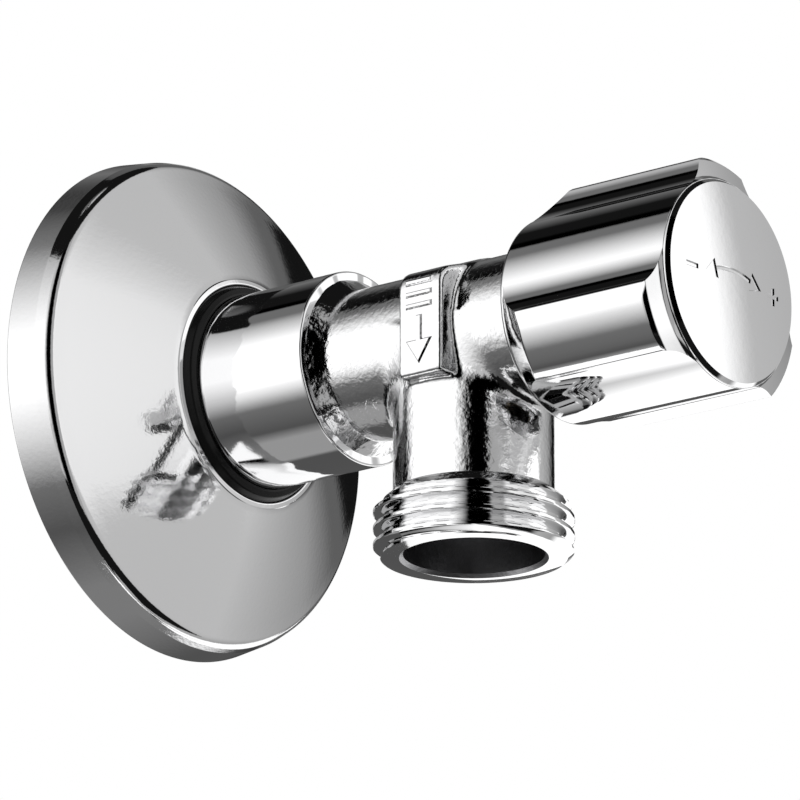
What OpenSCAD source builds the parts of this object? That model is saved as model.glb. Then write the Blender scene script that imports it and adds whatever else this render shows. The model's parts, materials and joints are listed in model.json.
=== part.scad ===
// Angle stop valve with a sliding wall rosette and a three-rib handle.
// Frame: the wall is the plane Y = 0, the valve reaches out along -Y, +Z is up,
// and the origin is where the inlet axis meets the wall.
// Inside the modules, local +Z runs out of the wall along the valve axis
// (its value is called a station) and local +Y is up.

/* [Inlet and neck] */
// Crest radius of the inlet and outlet pipe threads
thread_r = 10.4775; // [10.4:0.0005:10.5]
// Pitch of the pipe threads
thread_pitch = 1.814; // [1.7:0.001:1.9]
// Depth of the pipe threads
thread_depth = 1.1; // [0.8:0.05:1.2]
// Length of the inlet behind the wall plane
inlet_len = 11.5; // [10:0.5:13]
// Radius of the polished neck that the rosette slides on
neck_r = 10.65; // [10.55:0.05:10.8]
// Station where the neck steps down to the core
neck_len = 26.5; // [24:0.5:28]
// Radius of the inlet bore
inlet_bore_r = 6.2; // [5:0.1:7]

/* [Core and outlet] */
// Radius of the core behind and in front of the outlet
core_r = 8.3; // [8.2:0.05:8.6]
// Station of the core's end face, inside the handle
core_end = 57; // [56:0.5:57.5]
// Station of the outlet axis
outlet_at = 41.55; // [40:0.05:43]
// Radius of the outlet tube above its thread
outlet_r = 8.55; // [8.2:0.05:8.8]
// Distance from the valve axis to the outlet's end face
outlet_drop = 23.75; // [22:0.25:26]
// Turns of the outlet thread
outlet_turns = 4; // [3:1:4]
// Radius of the outlet bore at its mouth
outlet_bore_r = 7.5; // [6.5:0.1:7.8]
// Distance from the valve axis to the wrench flats
flat_x = 10.4; // [9.5:0.1:11]
// First and last station of the wrench flats
flat_from = 39.5; // [38.5:0.1:40]
flat_to = 45.2; // [44.5:0.1:46]
// Height of the flats above and below the valve axis
flat_top = 5.2; // [4:0.1:6]
flat_bottom = 6.2; // [5:0.1:8]

/* [Seat and headwork] */
// Station of the seat lip, where the washer closes
seat_at = 32; // [31:0.1:32.5]
// Radius of the seat orifice
orifice_r = 4; // [3.5:0.1:4.2]
// Radius of the chamber around the seat
chamber_r = 6.6; // [6.4:0.1:6.8]
// Radius of the bonnet's screwed barrel
bonnet_r = 6.9; // [6.8:0.05:6.95]
// Width across flats of the bonnet hexagon
bonnet_af = 15; // [14:0.5:15.5]
// Radius of the round bore that the piston seal runs in
piston_bore_r = 5; // [4.9:0.05:5.05]
// Radius of the spindle journal
journal_r = 3.2; // [3:0.05:3.3]
// Radius of the spindle's lifting thread
lift_thread_r = 2.9; // [2.6:0.05:2.9]
// Travel of the piston from shut to open
lift = 4.125; // [3:0.125:4.125]

/* [Wall rosette] */
// Outer radius of the rosette at the wall
rosette_r = 27.6; // [27:0.1:29]
// Radius of the rosette's front edge
rosette_edge_r = 26.55; // [26:0.05:27]
// Station of the rosette's front edge
rosette_edge_at = 4.95; // [4:0.05:6]
// Radius of the hole's rolled lip
rosette_hole_r = 12; // [11.9:0.05:12.4]
// Station where the rosette's face meets the lip
rosette_face_at = 11.3; // [10:0.1:13]
// Thickness of the rosette sheet
sheet_t = 0.8; // [0.6:0.1:1]

/* [Handle] */
// Radius of the handle's round base
handle_r = 11.1; // [10.8:0.05:11.5]
// Station of the handle's rear end
handle_from = 53.4; // [53:0.1:54]
// Station of the handle's front face
handle_to = 75.66; // [75:0.01:76.5]
// Radius of the rib crests
rib_r = 13.7; // [13:0.1:14.5]
// Half width of a rib's crest, in degrees
rib_crest_half = 16.3; // [12:0.1:20]
// Half width of a rib's foot, where its hollow flanks meet the round base
rib_foot_half = 34.6; // [30:0.1:38]
// Angle of the first rib, from +X towards +Z
rib_angle = 88.5; // [0:0.5:120]
// Stations where the ribs' rear ramps start, where their crests start, and where
// their sloping front faces meet the round base
rib_ramp_from = 53.8; // [53.6:0.1:56]
rib_from = 57.4; // [56:0.1:59]
rib_to = 74.4; // [73:0.1:75]
// Number of ribs
rib_count = 3; // [2:1:6]
// Thickness of the end cap's disc
cap_t = 1; // [0.8:0.1:1.4]

/* [Hidden] */
$fn = 96;
eps = 0.01;

// Running clearance between turning or sliding round pieces
run = 0.05;
// Thread form: half widths of the crest and root flats
crest_half = 0.2;
root_half = 0.2;
// Chamfer at the open end of each pipe thread
thread_chamfer = 0.5;
// Seal groove between the inlet thread and its shoulder
inlet_turns = 4;
seal_groove_from = -inlet_len + thread_chamfer + inlet_turns * thread_pitch;
seal_groove_to = seal_groove_from + 1.8;
seal_groove_r = 9.3;

// Bonnet stations, counted from the wall
bonnet_from = 45;
round_bore_to = 52.8;
shoulder_at = 61.55;
bonnet_hex_to = 61;
bonnet_to = 66.4;
bonnet_neck_r = 5.2;
// Relief under the bonnet hexagon, and the flat seal that sits on it
relief_r = bonnet_r - 0.6;
seal_t = 0.6;
hex_bore_af = 9.5;

// Piston stations with the valve shut
piston_foot_r = 5.7;
washer_t = 2;
washer_r = 5.25;
cup_depth = 0.6;
piston_from = seat_at + washer_t - cup_depth;
piston_foot_to = 36;
piston_stem_r = 4.4;
piston_land_from = 45.5;
piston_land_to = 48.5;
piston_hex_from = 53;
piston_to = 55.2;
piston_thread_from = 38.6;
oring_t = 1;
piston_groove_w = 1.2;

// Spindle stations
spindle_tip = piston_thread_from + lift + 0.4;
collar_from = 59.8;
collar_to = 61;
collar_r = 4.4;
washer_gap = 0.05;
oring_stations = [63, 65];
circlip_at = 66.5;
circlip_t = 0.6;
spline_from = 67.4;
spindle_to = 72;
spline_teeth = 16;
spline_r = 3.15;
spline_root_r = 2.75;
screw_r = 1.5;

// Handle stations
cavity_r = 9.4;
cavity_to = 67.2;
insert_r = 5.2;
insert_from = 67.4;
web_to = 72.2;
cap_skirt_r = 9.35;
cap_skirt_t = 0.7;
rear_round = 0.8;

// Puts local +Z along the valve axis, out of the wall, and local +Y up
module out_of_wall() { rotate([90, 0, 0]) children(); }

// Inside out_of_wall(): local +Z runs down the outlet from the valve axis
module down_outlet() { translate([0, 0, outlet_at]) rotate([90, 0, 0]) children(); }

// A solid of revolution from [radius, station] points
module turned(points) { rotate_extrude() polygon(points); }

// A plain ring between two radii and two stations
module ring(r_out, r_in, from, to) {
    translate([0, 0, from]) difference() {
        cylinder(r = r_out, h = to - from);
        translate([0, 0, -eps]) cylinder(r = r_in, h = to - from + 2 * eps);
    }
}

// A round seal of section diameter t around mean radius r
module oring(r, t, at) { translate([0, 0, at]) rotate_extrude() translate([r, 0]) circle(d = t); }

// A hexagonal bar by its width across flats
module hex_bar(af, from, to) {
    translate([0, 0, from]) cylinder(r = af / 2 / cos(30), h = to - from, $fn = 6);
}

// [radius, station] points of a threaded length: flat crests and roots, one V per turn
function thread_points(from, turns) = concat(
    [[thread_r, from]],
    [for (i = [0 : turns - 1], k = [0 : 3])
        [k == 1 || k == 2 ? thread_r - thread_depth : thread_r,
         from + i * thread_pitch + (k < 2 ? k == 0 ? crest_half : thread_pitch / 2 - root_half
                                          : k == 2 ? thread_pitch / 2 + root_half
                                                   : thread_pitch - crest_half)]],
    [[thread_r, from + turns * thread_pitch]]);

// Outline of the wrench flats in the plane across the valve axis: a rounded
// block whose sloping top runs tangent to the core
module flats_outline() {
    reach = norm([flat_x, flat_top]);
    tangent = atan2(flat_top, -flat_x) - acos(core_r / reach);
    touch = [core_r * cos(tangent), core_r * sin(tangent)];
    polygon([[-flat_x, -flat_bottom], [flat_x, -flat_bottom], [flat_x, flat_top],
             [-touch[0], touch[1]], touch, [-flat_x, flat_top]]);
}

// Brass casting: inlet thread, neck, core, outlet with its thread, wrench flats and seat
module valve_body() {
    chamfer_r = thread_r - thread_chamfer;
    outlet_thread_from = outlet_drop - thread_chamfer - outlet_turns * thread_pitch;
    axis_outline = concat(
        [[0, -inlet_len], [chamfer_r, -inlet_len]],
        thread_points(-inlet_len + thread_chamfer, inlet_turns),
        [[seal_groove_r, seal_groove_from], [seal_groove_r, seal_groove_to],
         [thread_r, seal_groove_to], [thread_r, 0],
         [neck_r, 0], [neck_r, neck_len - 0.3], [neck_r - 0.3, neck_len],
         [neck_r - 1.25, neck_len], [core_r, neck_len + 1.25],
         [core_r, core_end - 0.5], [core_r - 0.5, core_end], [0, core_end]]);
    outlet_outline = concat(
        [[0, 0], [outlet_r, 0], [outlet_r, outlet_thread_from - thread_chamfer]],
        thread_points(outlet_thread_from, outlet_turns),
        [[chamfer_r, outlet_drop], [0, outlet_drop]]);
    bore_outline = [
        [0, -inlet_len - 1], [inlet_bore_r, -inlet_len - 1], [inlet_bore_r, 23],
        [orifice_r, 25], [orifice_r, seat_at - eps], [orifice_r, seat_at],
        [orifice_r + 1, seat_at], [orifice_r + 1.6, seat_at - 1.4],
        [chamber_r, seat_at - 1.4], [chamber_r, bonnet_from], [bonnet_r, bonnet_from],
        [bonnet_r, core_end + 1], [0, core_end + 1]];
    color("gainsboro") out_of_wall() difference() {
        union() {
            turned(axis_outline);
            down_outlet() turned(outlet_outline);
            translate([0, 0, flat_from]) linear_extrude(flat_to - flat_from) flats_outline();
        }
        turned(bore_outline);
        down_outlet() turned([[0, 0], [5.2, 0], [5.2, 11], [outlet_bore_r, 13.5],
                              [outlet_bore_r, outlet_drop - 0.5],
                              [outlet_bore_r + 0.5, outlet_drop],
                              [outlet_bore_r + 0.5, outlet_drop + 1], [0, outlet_drop + 1]]);
    }
}

// Pressed sheet cover: skirt, rolled band, sloping face and rolled lip
module wall_rosette() {
    band_run = 1.25;
    band_r = rosette_edge_r + band_run * tan(20);
    face_r = rosette_hole_r + 0.6;
    lip_to = rosette_face_at + 0.35;
    color("silver") out_of_wall() turned([
        [rosette_r, 0], [band_r, rosette_edge_at - band_run],
        [rosette_edge_r + 0.12, rosette_edge_at - 0.25], [rosette_edge_r - 0.28, rosette_edge_at + 0.15],
        [face_r, rosette_face_at], [face_r - 0.15, lip_to - 0.08], [face_r - 0.4, lip_to],
        [rosette_hole_r, lip_to - 0.25], [rosette_hole_r, rosette_face_at - 1.2],
        [rosette_edge_r - 0.6, rosette_edge_at - sheet_t + 0.1],
        [band_r - sheet_t, rosette_edge_at - band_run], [rosette_r - sheet_t, 0]]);
}

// Black ring in the rosette's hole that grips the neck, with a sloping bead
module rosette_grip_ring() {
    ring_from = rosette_face_at - 1.4;
    ring_to = rosette_face_at + 1.2;
    color("#202020") out_of_wall() turned([
        [neck_r + run, ring_from], [rosette_hole_r - 0.4, ring_from],
        [rosette_hole_r, ring_from + 0.4], [rosette_hole_r, rosette_face_at + 0.05],
        [rosette_hole_r - 0.75, ring_to - 0.15], [rosette_hole_r - 1, ring_to],
        [neck_r + run, ring_to]]);
}

// White sealing ring in the groove of the inlet thread
module inlet_seal_ring() {
    color("ivory") out_of_wall()
        ring(thread_r - 0.02, seal_groove_r, seal_groove_from, seal_groove_to);
}

// Screwed bonnet that guides the piston and carries the spindle
module bonnet() {
    color("goldenrod") out_of_wall() difference() {
        union() {
            translate([0, 0, bonnet_from]) cylinder(r = bonnet_r, h = core_end - bonnet_from);
            translate([0, 0, core_end - 1]) cylinder(r = relief_r, h = seal_t + 1.5);
            hex_bar(bonnet_af, core_end + seal_t, bonnet_hex_to);
            translate([0, 0, bonnet_hex_to - eps])
                cylinder(r = bonnet_neck_r, h = bonnet_to - bonnet_hex_to + eps);
        }
        translate([0, 0, bonnet_from - 1]) cylinder(r = piston_bore_r, h = round_bore_to - bonnet_from + 1);
        hex_bar(hex_bore_af, round_bore_to - eps, shoulder_at);
        cylinder(r = journal_r + run, h = bonnet_to + 1);
    }
}

// Flat ring between the bonnet hexagon and the core's end
module bonnet_seal() {
    color("firebrick") out_of_wall()
        ring(core_r - 0.5, relief_r, core_end, core_end + seal_t);
}

// Outline of the splined end: teeth of even width around the root circle
module spline_outline(extra) {
    step = 360 / spline_teeth;
    polygon([for (i = [0 : spline_teeth - 1], k = [0 : 3])
        let (a = i * step + [-0.32, -0.18, 0.18, 0.32][k] * step,
             r = (k == 0 || k == 3 ? spline_root_r : spline_r) + extra)
        [r * cos(a), r * sin(a)]]);
}

// Turning spindle: lifting thread, collar, two seal grooves, clip groove and spline
module spindle() {
    groove_r = journal_r - 0.95;
    groove_half = 0.6;
    seal_grooves = [for (at = oring_stations, k = [0 : 3])
        [k == 0 || k == 3 ? journal_r : groove_r, at + (k < 2 ? -groove_half : groove_half)]];
    color("darkgoldenrod") out_of_wall() difference() {
        union() {
            turned(concat(
                [[0, spindle_tip], [lift_thread_r - 0.4, spindle_tip],
                 [lift_thread_r, spindle_tip + 0.4], [lift_thread_r, collar_from],
                 [collar_r, collar_from], [collar_r, collar_to], [journal_r, collar_to]],
                seal_grooves,
                [[journal_r, circlip_at], [journal_r - 0.5, circlip_at],
                 [journal_r - 0.5, circlip_at + circlip_t], [journal_r, circlip_at + circlip_t],
                 [journal_r, spline_from], [0, spline_from]]));
            translate([0, 0, spline_from - eps])
                linear_extrude(spindle_to - spline_from + eps) spline_outline(0);
        }
        translate([0, 0, spindle_to - 4.5]) cylinder(r = screw_r, h = 6);
    }
}

// The two seals on the spindle journal
module spindle_oring_inner() {
    color("#1c1c1c") out_of_wall() oring(journal_r - 0.47, oring_t - 0.06, oring_stations[0]);
}

module spindle_oring_outer() {
    color("#1c1c1c") out_of_wall() oring(journal_r - 0.47, oring_t - 0.06, oring_stations[1]);
}

// Low-friction washer between the spindle's collar and the bonnet's shoulder
module thrust_washer() {
    color("whitesmoke") out_of_wall()
        ring(collar_r, journal_r, collar_to, shoulder_at - washer_gap);
}

// Open spring clip that keeps the spindle in the bonnet
module spindle_circlip() {
    gap = 2.2;
    color("dimgray") out_of_wall() difference() {
        ring(journal_r + 1.2, journal_r - 0.5, circlip_at, circlip_at + circlip_t);
        translate([-gap / 2, 0, circlip_at - 1]) cube([gap, 10, 3]);
    }
}

// Rising piston: washer cup, stem, sealing land and guiding hexagon
module piston() {
    groove_mid = (piston_land_from + piston_land_to) / 2;
    land_r = piston_bore_r - run;
    color("peru") out_of_wall() difference() {
        union() {
            turned([[0, piston_from], [piston_foot_r, piston_from],
                    [piston_foot_r, piston_foot_to - 0.6], [piston_stem_r, piston_foot_to],
                    [piston_stem_r, piston_land_from], [land_r, piston_land_from],
                    [land_r, groove_mid - piston_groove_w / 2],
                    [land_r - 0.95, groove_mid - piston_groove_w / 2],
                    [land_r - 0.95, groove_mid + piston_groove_w / 2],
                    [land_r, groove_mid + piston_groove_w / 2], [land_r, piston_land_to],
                    [piston_stem_r, piston_land_to], [piston_stem_r, piston_hex_from],
                    [0, piston_hex_from]]);
            hex_bar(hex_bore_af - 0.14, piston_hex_from - eps, piston_to);
        }
        translate([0, 0, piston_from - 1]) cylinder(r = washer_r, h = cup_depth + 1);
        translate([0, 0, piston_from]) cylinder(r = screw_r, h = 4.6);
        translate([0, 0, piston_thread_from]) cylinder(r = lift_thread_r + run, h = 20);
    }
}

// Seal on the piston's land
module piston_oring() {
    color("#1c1c1c") out_of_wall()
        oring(piston_bore_r - run - 0.475, oring_t - 0.06, (piston_land_from + piston_land_to) / 2);
}

// Rubber washer that closes the seat
module seat_washer() {
    color("#262626") out_of_wall() ring(washer_r, screw_r, seat_at, seat_at + washer_t);
}

// Screw that holds the seat washer in the piston's cup
module washer_screw() {
    head_t = 1.1;
    color("khaki") out_of_wall() difference() {
        union() {
            translate([0, 0, seat_at - head_t]) cylinder(r = 2.7, h = head_t);
            translate([0, 0, seat_at - eps]) cylinder(r = screw_r, h = 5);
        }
        translate([-3, -0.35, seat_at - head_t - 1]) cube([6, 0.7, 1.6]);
    }
}

// One rib's outline: a crest concentric with the handle, and hollow flanks that
// run smoothly into the round base
module rib_outline() {
    edge = [rib_r * cos(rib_crest_half), rib_r * sin(rib_crest_half)];
    narrowing = rib_r * cos(rib_foot_half - rib_crest_half) - handle_r;
    centre_r = (rib_r * rib_r - handle_r * handle_r) / (2 * narrowing);
    hollow_r = centre_r - handle_r;
    centre = centre_r * [cos(rib_foot_half), sin(rib_foot_half)];
    to_edge = centre - edge;
    facing = atan2(to_edge[1], to_edge[0]);
    inside_r = handle_r - 0.4;
    side = concat([for (k = [0 : 5])
        let (a = facing + (rib_foot_half - facing) * k / 7)
        centre - hollow_r * [cos(a), sin(a)]],
        [inside_r * [cos(rib_foot_half), sin(rib_foot_half)]]);
    intersection() {
        circle(r = rib_r);
        polygon(concat([[0, 0]],
                       [for (k = [len(side) - 1 : -1 : 0]) [side[k][0], -side[k][1]]],
                       [[rib_r + 2, -edge[1]], [rib_r + 2, edge[1]]], side));
    }
}

// Chromed handle shell: round base, raised ribs, rear cavity and web
module handle_shell() {
    front = handle_to - cap_t;
    color("silver") out_of_wall() difference() {
        union() {
            turned([[0, handle_from], [handle_r - rear_round, handle_from],
                    [handle_r - rear_round / 3.4, handle_from + rear_round / 3.4],
                    [handle_r, handle_from + rear_round], [handle_r, front], [0, front]]);
            intersection() {
                for (i = [0 : rib_count - 1])
                    rotate([0, 0, rib_angle + i * 360 / rib_count])
                        translate([0, 0, rib_ramp_from]) linear_extrude(rib_to - rib_ramp_from)
                            rib_outline();
                turned([[0, rib_ramp_from - 0.2], [handle_r - 0.5, rib_ramp_from - 0.2],
                        [rib_r + 0.5, rib_from + 0.5], [rib_r + 0.5, rib_to - 1.65],
                        [rib_r - 0.4, rib_to - 0.57], [handle_r - 0.5, rib_to + 0.13],
                        [0, rib_to + 0.13]]);
            }
        }
        translate([0, 0, handle_from - 1]) cylinder(r = cavity_r, h = cavity_to - handle_from + 1);
        translate([0, 0, cavity_to - 1]) cylinder(r = insert_r, h = web_to - cavity_to + 2);
        translate([0, 0, web_to]) cylinder(r = cap_skirt_r, h = 4);
    }
}

// Brass bush that carries the spline in the handle
module handle_insert() {
    color("goldenrod") out_of_wall() translate([0, 0, insert_from])
        linear_extrude(web_to - insert_from) difference() {
            circle(r = insert_r);
            spline_outline(0.02);
        }
}

// Lock washer under the handle screw's head
module lock_washer() {
    color("dimgray") out_of_wall() ring(3, screw_r + 0.1, web_to, web_to + 0.6);
}

// Screw that pulls the handle onto the spindle
module handle_screw() {
    head_from = web_to + 0.6;
    head_t = 1.6;
    color("silver") out_of_wall() difference() {
        union() {
            translate([0, 0, head_from]) cylinder(r = 2.8, h = head_t);
            translate([0, 0, head_from - 4.6]) cylinder(r = screw_r, h = 4.6 + eps);
        }
        for (a = [0, 90])
            rotate([0, 0, a]) translate([-1.7, -0.35, head_from + 0.7]) cube([3.4, 0.7, 2]);
    }
}

// Chromed cap snapped into the handle's front
module handle_cap() {
    front = handle_to - cap_t;
    color("gainsboro") out_of_wall() difference() {
        turned([[0, front], [cap_skirt_r - cap_skirt_t, front],
                [cap_skirt_r - cap_skirt_t, web_to + 0.3], [cap_skirt_r, web_to + 0.3],
                [cap_skirt_r, front], [handle_r - 0.04, front], [handle_r - 0.04, handle_to - 0.25],
                [handle_r - 0.29, handle_to], [0, handle_to]]);
    }
}

valve_body();
wall_rosette();
rosette_grip_ring();
inlet_seal_ring();
bonnet();
bonnet_seal();
spindle();
spindle_oring_inner();
spindle_oring_outer();
thrust_washer();
spindle_circlip();
piston();
piston_oring();
seat_washer();
washer_screw();
handle_shell();
handle_insert();
lock_washer();
handle_screw();
handle_cap();
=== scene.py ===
import json
import math

import bmesh
import bpy
import numpy as np
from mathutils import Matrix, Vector, noise


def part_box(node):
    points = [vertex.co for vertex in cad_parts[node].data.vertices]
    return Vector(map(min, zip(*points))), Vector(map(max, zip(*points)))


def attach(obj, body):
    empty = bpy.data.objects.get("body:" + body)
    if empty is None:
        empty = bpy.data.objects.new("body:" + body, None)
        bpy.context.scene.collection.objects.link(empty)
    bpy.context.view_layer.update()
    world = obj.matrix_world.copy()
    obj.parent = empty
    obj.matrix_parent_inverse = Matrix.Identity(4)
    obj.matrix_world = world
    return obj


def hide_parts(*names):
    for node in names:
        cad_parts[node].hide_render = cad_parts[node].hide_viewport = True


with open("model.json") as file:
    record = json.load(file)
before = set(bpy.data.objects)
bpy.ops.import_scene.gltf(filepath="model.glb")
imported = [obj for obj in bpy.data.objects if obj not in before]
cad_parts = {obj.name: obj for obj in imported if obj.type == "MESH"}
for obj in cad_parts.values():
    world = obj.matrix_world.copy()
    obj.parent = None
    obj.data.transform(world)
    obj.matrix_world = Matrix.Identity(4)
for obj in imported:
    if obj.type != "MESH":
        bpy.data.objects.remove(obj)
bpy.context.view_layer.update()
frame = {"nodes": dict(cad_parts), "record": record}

# ---------------------------------------------------------------------------
# Sizes. Lengths are in millimetres and become metres when a mesh is made.
# The valve axis runs along Y. A station is a distance out of the wall, -Y.
# ---------------------------------------------------------------------------
MM = 0.001
TURN = 2 * math.pi


def stations(node):
    """First and last station of a CAD node."""
    low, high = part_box(node)
    return -high.y / MM, -low.y / MM


BODY_LOW, BODY_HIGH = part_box("valve_body")
INLET_END, CORE_END = stations("valve_body")
THREAD_R = BODY_HIGH.x / MM
OUTLET_DROP = -BODY_LOW.z / MM
HANDLE_FROM = stations("handle_shell")[0]
HANDLE_TO = stations("handle_cap")[1]
CAP_FROM = stations("handle_shell")[1]
ROSETTE_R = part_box("wall_rosette")[1].x / MM
ROSETTE_TO = stations("wall_rosette")[1]

PITCH = 1.814
THREAD_DEPTH = 1.1
NECK_R = 10.65
NECK_TO = 26.5
CORE_R = 8.3
OUTLET_AT = 41.55
OUTLET_R = 8.55
SEGMENTS = 256


# ---------------------------------------------------------------------------
# Outlines: lists of (radius, station) points, with rounded corners
# ---------------------------------------------------------------------------
def fillet(before, here, after, radius, steps, support=0.05):
    """Points of an arc that rounds the corner at here, with a support point just outside
    each end so that flat stretches shade flat."""
    here = Vector(here)
    before = Vector(before) - here
    after = Vector(after) - here
    half = before.angle(after) / 2
    if radius <= 0 or half > math.radians(89):
        return [tuple(here)]
    room = 0.49 * min(before.length, after.length)
    reach = min(radius / math.tan(half), room)
    radius = reach * math.tan(half)
    before.normalize()
    after.normalize()
    centre = here + (before + after).normalized() * (radius / math.sin(half))
    start = here + before * reach
    end = here + after * reach
    a = start - centre
    b = end - centre
    sweep = a.angle(b)
    arc = []
    for k in range(steps + 1):
        t = k / steps
        w0 = math.sin((1 - t) * sweep) / math.sin(sweep)
        w1 = math.sin(t * sweep) / math.sin(sweep)
        arc.append(tuple(centre + a * w0 + b * w1))
    margin = min(support, room - reach)
    if margin > 0.002:
        arc = [tuple(start + before * margin)] + arc + [tuple(end + after * margin)]
    return arc


def rounded(corners, steps=6):
    """A closed outline through (radius, station, fillet) corners."""
    points = []
    for i, (x, y, radius) in enumerate(corners):
        before = corners[i - 1][:2]
        after = corners[(i + 1) % len(corners)][:2]
        points += fillet(before, (x, y), after, radius, steps)
    return points


def stretch(start, end, steps, wanted):
    """The wanted points of a straight line that is divided into equal steps."""
    return [(start[0] + (end[0] - start[0]) * k / steps, start[1] + (end[1] - start[1]) * k / steps)
            for k in wanted]


def valve_point(r, turn, station):
    """A point around the valve axis, in millimetres in the row frame."""
    return (r * math.cos(turn), -station, r * math.sin(turn))


def outlet_point(r, turn, station):
    """A point around the outlet axis; here a station is a depth below the valve axis."""
    return (r * math.cos(turn), -OUTLET_AT + r * math.sin(turn), -station)


# ---------------------------------------------------------------------------
# Mesh building
# ---------------------------------------------------------------------------
def make_object(name, points, faces, material=None):
    """A smooth-shaded mesh object from points in millimetres, with outward normals."""
    mesh = bpy.data.meshes.new(name)
    mesh.from_pydata([tuple(c * MM for c in p) for p in points], [], faces)
    work = bmesh.new()
    work.from_mesh(mesh)
    bmesh.ops.recalc_face_normals(work, faces=work.faces)
    work.to_mesh(mesh)
    work.free()
    mesh.polygons.foreach_set("use_smooth", [True] * len(mesh.polygons))
    obj = bpy.data.objects.new(name, mesh)
    bpy.context.scene.collection.objects.link(obj)
    if material:
        mesh.materials.append(material)
    return obj


def turned(name, outline, material=None, place=valve_point, segments=SEGMENTS, shift=None):
    """A closed solid of revolution. Outline points on the axis become single points."""
    points = []
    rows = []
    for r, s in outline:
        if r < 1e-6:
            rows.append([len(points)])
            points.append(place(0, 0, s))
            continue
        row = []
        for k in range(segments):
            turn = TURN * k / segments
            dr, ds = shift(turn, r, s) if shift else (0, 0)
            row.append(len(points))
            points.append(place(r + dr, turn, s + ds))
        rows.append(row)
    faces = []
    for i, row in enumerate(rows):
        other = rows[(i + 1) % len(rows)]
        if len(row) == 1 and len(other) == 1:
            continue
        for k in range(segments):
            n = (k + 1) % segments
            if len(row) == 1:
                faces.append((row[0], other[n], other[k]))
            elif len(other) == 1:
                faces.append((row[k], row[n], other[0]))
            else:
                faces.append((row[k], row[n], other[n], other[k]))
    return make_object(name, points, faces, material)


def closed_bar(name, rings, first, last, material=None):
    """A closed solid through equal rings of points, with a fan from one point at either end."""
    wide = len(rings[0])
    points = [point for ring in rings for point in ring]
    faces = []
    for start in range(0, len(points) - wide, wide):
        for k in range(wide):
            n = (k + 1) % wide
            faces.append((start + k, start + n, start + wide + n, start + wide + k))
    for start, centre in ((0, first), (wide * (len(rings) - 1), last)):
        middle = len(points)
        points.append(centre)
        for k in range(wide):
            faces.append((start + k, start + (k + 1) % wide, middle))
    return make_object(name, points, faces, material)


def grid_solid(name, radius_at, turns, levels, material=None, place=valve_point):
    """A closed bar whose radius is radius_at(turn, station), between the first and last level."""
    rings = [[place(radius_at(turn, s), turn, s) for turn in turns] for s in levels]
    return closed_bar(name, rings, place(0, 0, levels[0]), place(0, 0, levels[-1]), material)


def combine(target, others, operation):
    """Joins other solids to target, or cuts them from it, and removes them."""
    for other in others:
        cut = target.modifiers.new("cut", "BOOLEAN")
        cut.operation = operation
        cut.solver = "MANIFOLD"
        cut.material_mode = "TRANSFER"
        cut.object = other
    bake_modifiers(target)
    for other in others:
        bpy.data.objects.remove(other)
    return target


def bake_modifiers(obj):
    """Applies an object's modifiers to its mesh."""
    bpy.context.view_layer.update()
    graph = bpy.context.evaluated_depsgraph_get()
    mesh = bpy.data.meshes.new_from_object(obj.evaluated_get(graph))
    obj.modifiers.clear()
    old = obj.data
    obj.data = mesh
    mesh.name = old.name
    bpy.data.meshes.remove(old)


def sharpen(obj, angle):
    """Marks edges sharper than an angle in degrees, so that they shade as edges."""
    work = bmesh.new()
    work.from_mesh(obj.data)
    limit = math.radians(angle)
    for edge in work.edges:
        edge.smooth = not (len(edge.link_faces) == 2 and edge.calc_face_angle(0) > limit)
    work.to_mesh(obj.data)
    work.free()


# ---------------------------------------------------------------------------
# The casting: a blended surface found on a grid
# ---------------------------------------------------------------------------
def soft_min(a, b, k):
    """The smaller of two distances, blended where they differ by less than k."""
    h = np.maximum(k - np.abs(a - b), 0) / k
    return np.minimum(a, b) - h * h * k / 4


def soft_max(a, b, k):
    """The larger of two distances, blended where they differ by less than k."""
    return -soft_min(-a, -b, k)


FLAT_X = 10.4
FLAT_FROM, FLAT_TO = 39.5, 45.2
FLAT_TOP, FLAT_BOTTOM = 5.2, 6.2
TUBE_TO = 17.4
CAST_FROM = 25.0


def casting(x, s, z):
    """Signed distance, in millimetres, to the core, the outlet tube and the wrench flats."""
    core = np.sqrt(x * x + z * z) - CORE_R
    core = soft_max(soft_max(core, s - CORE_END, 0.6), CAST_FROM - s, 0.3)
    tube = np.sqrt(x * x + (s - OUTLET_AT) ** 2) - OUTLET_R
    tube = soft_max(soft_max(tube, -z - TUBE_TO, 0.3), z, 0.3)
    shape = soft_min(core, tube, 1.6)
    reach = math.hypot(FLAT_X, FLAT_TOP)
    tilt = math.atan2(FLAT_TOP, FLAT_X) + math.acos(CORE_R / reach)
    side = np.abs(x)
    flats = soft_max(side - FLAT_X, side * math.cos(tilt) + z * math.sin(tilt) - CORE_R, 1.8)
    flats = soft_max(flats, -z - FLAT_BOTTOM, 0.7)
    flats = soft_max(flats, np.abs(s - (FLAT_FROM + FLAT_TO) / 2) - (FLAT_TO - FLAT_FROM) / 2, 0.6)
    return soft_min(shape, flats, 0.7)


def slope_of(field, p, step=0.01):
    """Gradient of a field at many points."""
    out = np.empty_like(p)
    for axis in range(3):
        ahead, behind = p.copy(), p.copy()
        ahead[:, axis] += step
        behind[:, axis] -= step
        out[:, axis] = (field(*ahead.T) - field(*behind.T)) / (2 * step)
    return out


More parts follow.
